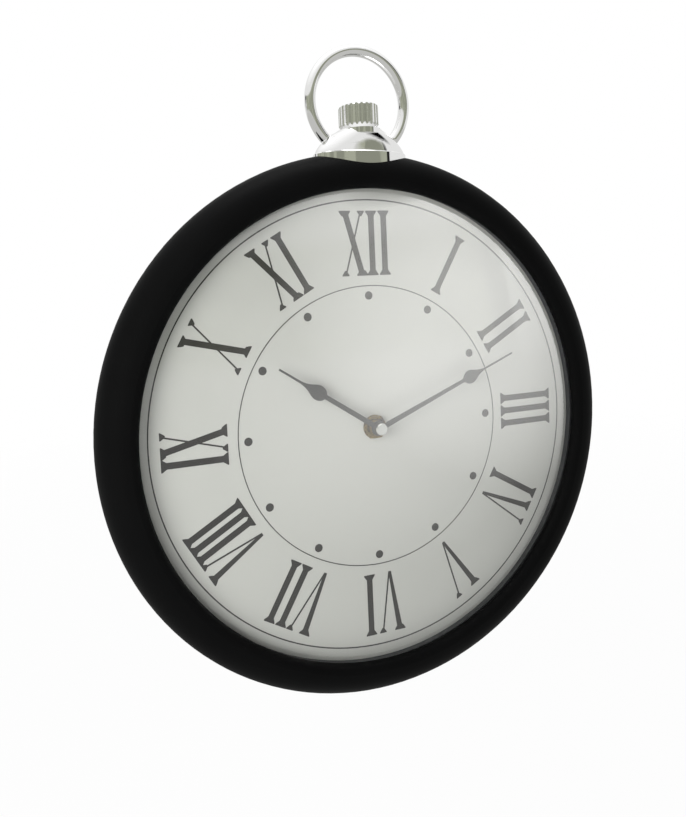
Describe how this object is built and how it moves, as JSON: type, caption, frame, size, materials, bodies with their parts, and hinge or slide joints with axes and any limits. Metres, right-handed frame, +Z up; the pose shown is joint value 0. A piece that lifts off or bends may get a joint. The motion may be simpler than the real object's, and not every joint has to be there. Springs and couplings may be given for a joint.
{
  "type": "wall clock",
  "caption": "Round wall clock in pocket-watch form: black case, domed glass, roman dial, two spade hands, chrome crown and bow, battery quartz movement",
  "frame": {"origin": "middle of the hanging hole, in the plane of the wall", "axes": "+Z up, the dial faces -Y, +Y points into the wall, +X to the right seen from the front"},
  "size_m": [0.3, 0.0396, 0.3572],
  "materials": {
    "case_black": "moulded case with a soft-touch matt black coat",
    "cover_black": "moulded back panel, fine-textured matt black",
    "seal_rubber": "soft black rubber",
    "glass_clear": "clear domed mineral glass, polished",
    "spacer_grey": "dark grey spacer ring",
    "dial_white": "aluminium dial sheet with a warm pale grey satin coat",
    "dial_ink": "screen-printed dark grey ink",
    "steel_zinc": "zinc-plated steel",
    "chrome_bright": "bright chrome plate over die-cast metal",
    "hand_grey": "stamped hands with a dark grey satin coat",
    "brass_plain": "turned brass",
    "shell_black": "black moulded movement shell",
    "plate_natural": "natural acetal moulding",
    "wheel_natural": "natural acetal gear",
    "wheel_brass": "brass gear",
    "magnet_grey": "sintered ferrite",
    "iron_bare": "bare electrical iron",
    "copper_wire": "enamelled copper wire",
    "board_green": "glass-fibre circuit board",
    "epoxy_black": "black epoxy over the chip",
    "battery_sleeve": "plain dark battery sleeve"
  },
  "bodies": {
    "case": {"case_ring": "case_black", "lens_gasket": "seal_rubber", "glass_dome": "glass_clear", "dial_spacer": "spacer_grey", "dial_plate": "dial_white", "dial_print": "dial_ink", "back_cover": "cover_black", "cover_screws": "steel_zinc", "hanger_plate": "steel_zinc", "hanger_screws": "steel_zinc", "pendant": "chrome_bright", "crown": "chrome_bright", "pendant_stud": "steel_zinc", "pendant_washer": "steel_zinc", "pendant_nut": "steel_zinc", "movement_front_cover": "shell_black", "movement_back_cover": "shell_black", "train_plate": "plate_natural", "threaded_bush": "brass_plain", "rubber_washer": "seal_rubber", "brass_washer": "brass_plain", "hex_nut": "brass_plain", "stator": "iron_bare", "coil_core": "iron_bare", "coil_bobbin": "plate_natural", "coil_winding": "copper_wire", "circuit_board": "board_green", "clock_chip": "epoxy_black", "quartz_crystal": "steel_zinc", "positive_contact": "steel_zinc", "negative_contact": "steel_zinc"},
    "bow": {"bow": "chrome_bright"},
    "minute": {"minute_hand": "hand_grey", "minute_arbor": "wheel_brass", "cap_nut": "chrome_bright"},
    "centre": {"centre_wheel": "wheel_natural"},
    "hour": {"hour_hand": "hand_grey", "hour_wheel": "wheel_natural"},
    "minute_wheel": {"minute_wheel": "wheel_natural"},
    "setting_knob": {"setting_knob": "wheel_natural"},
    "third_wheel": {"third_wheel": "wheel_natural"},
    "second_wheel": {"second_wheel": "wheel_natural"},
    "intermediate_wheel": {"intermediate_wheel": "wheel_natural"},
    "rotor": {"rotor": "wheel_natural", "rotor_magnet": "magnet_grey"},
    "battery": {"battery": "battery_sleeve"}
  },
  "joints": [
    {"name": "minute_hand_turn", "type": "hinge", "parent": "case", "child": "minute", "pos_m": [0, 0, -0.104], "axis": [0, 1, 0], "continuous": true},
    {"name": "hour_hand_turn", "type": "hinge", "parent": "case", "child": "hour", "pos_m": [0, 0, -0.104], "axis": [0, 1, 0], "continuous": true},
    {"name": "minute_wheel_turn", "type": "hinge", "parent": "case", "child": "minute_wheel", "pos_m": [-0.00831, 0, -0.0992], "axis": [0, 1, 0], "continuous": true},
    {"name": "setting_knob_turn", "type": "hinge", "parent": "case", "child": "setting_knob", "pos_m": [-0.01311, 0, -0.09089], "axis": [0, 1, 0], "continuous": true},
    {"name": "third_wheel_turn", "type": "hinge", "parent": "case", "child": "third_wheel", "pos_m": [0.00866, 0, -0.099], "axis": [0, 1, 0], "continuous": true},
    {"name": "second_wheel_turn", "type": "hinge", "parent": "case", "child": "second_wheel", "pos_m": [0, 0, -0.104], "axis": [0, 1, 0], "continuous": true},
    {"name": "centre_wheel_turn", "type": "hinge", "parent": "case", "child": "centre", "pos_m": [0, 0, -0.104], "axis": [0, 1, 0], "continuous": true},
    {"name": "intermediate_wheel_turn", "type": "hinge", "parent": "case", "child": "intermediate_wheel", "pos_m": [-0.00182, 0, -0.09366], "axis": [0, 1, 0], "continuous": true},
    {"name": "rotor_turn", "type": "hinge", "parent": "case", "child": "rotor", "pos_m": [0.00193, 0, -0.08716], "axis": [0, 1, 0], "continuous": true},
    {"name": "bow_swing", "type": "hinge", "parent": "case", "child": "bow", "pos_m": [0, -0.0165, 0.0535], "axis": [1, 0, 0], "range_deg": [-90, 90]},
    {"name": "battery_slide", "type": "slide", "parent": "case", "child": "battery", "axis": [0, 1, 0], "range_m": [0, 0.025]}
  ],
  "couplings": [
    {"joint": "hour_hand_turn", "follows": "minute_hand_turn", "ratio": 0.083333},
    {"joint": "minute_wheel_turn", "follows": "minute_hand_turn", "ratio": -0.33333},
    {"joint": "setting_knob_turn", "follows": "minute_hand_turn", "ratio": 1},
    {"joint": "centre_wheel_turn", "follows": "second_wheel_turn", "ratio": 0.016667},
    {"joint": "third_wheel_turn", "follows": "second_wheel_turn", "ratio": -0.125},
    {"joint": "intermediate_wheel_turn", "follows": "second_wheel_turn", "ratio": -6},
    {"joint": "rotor_turn", "follows": "second_wheel_turn", "ratio": 30}
  ]
}
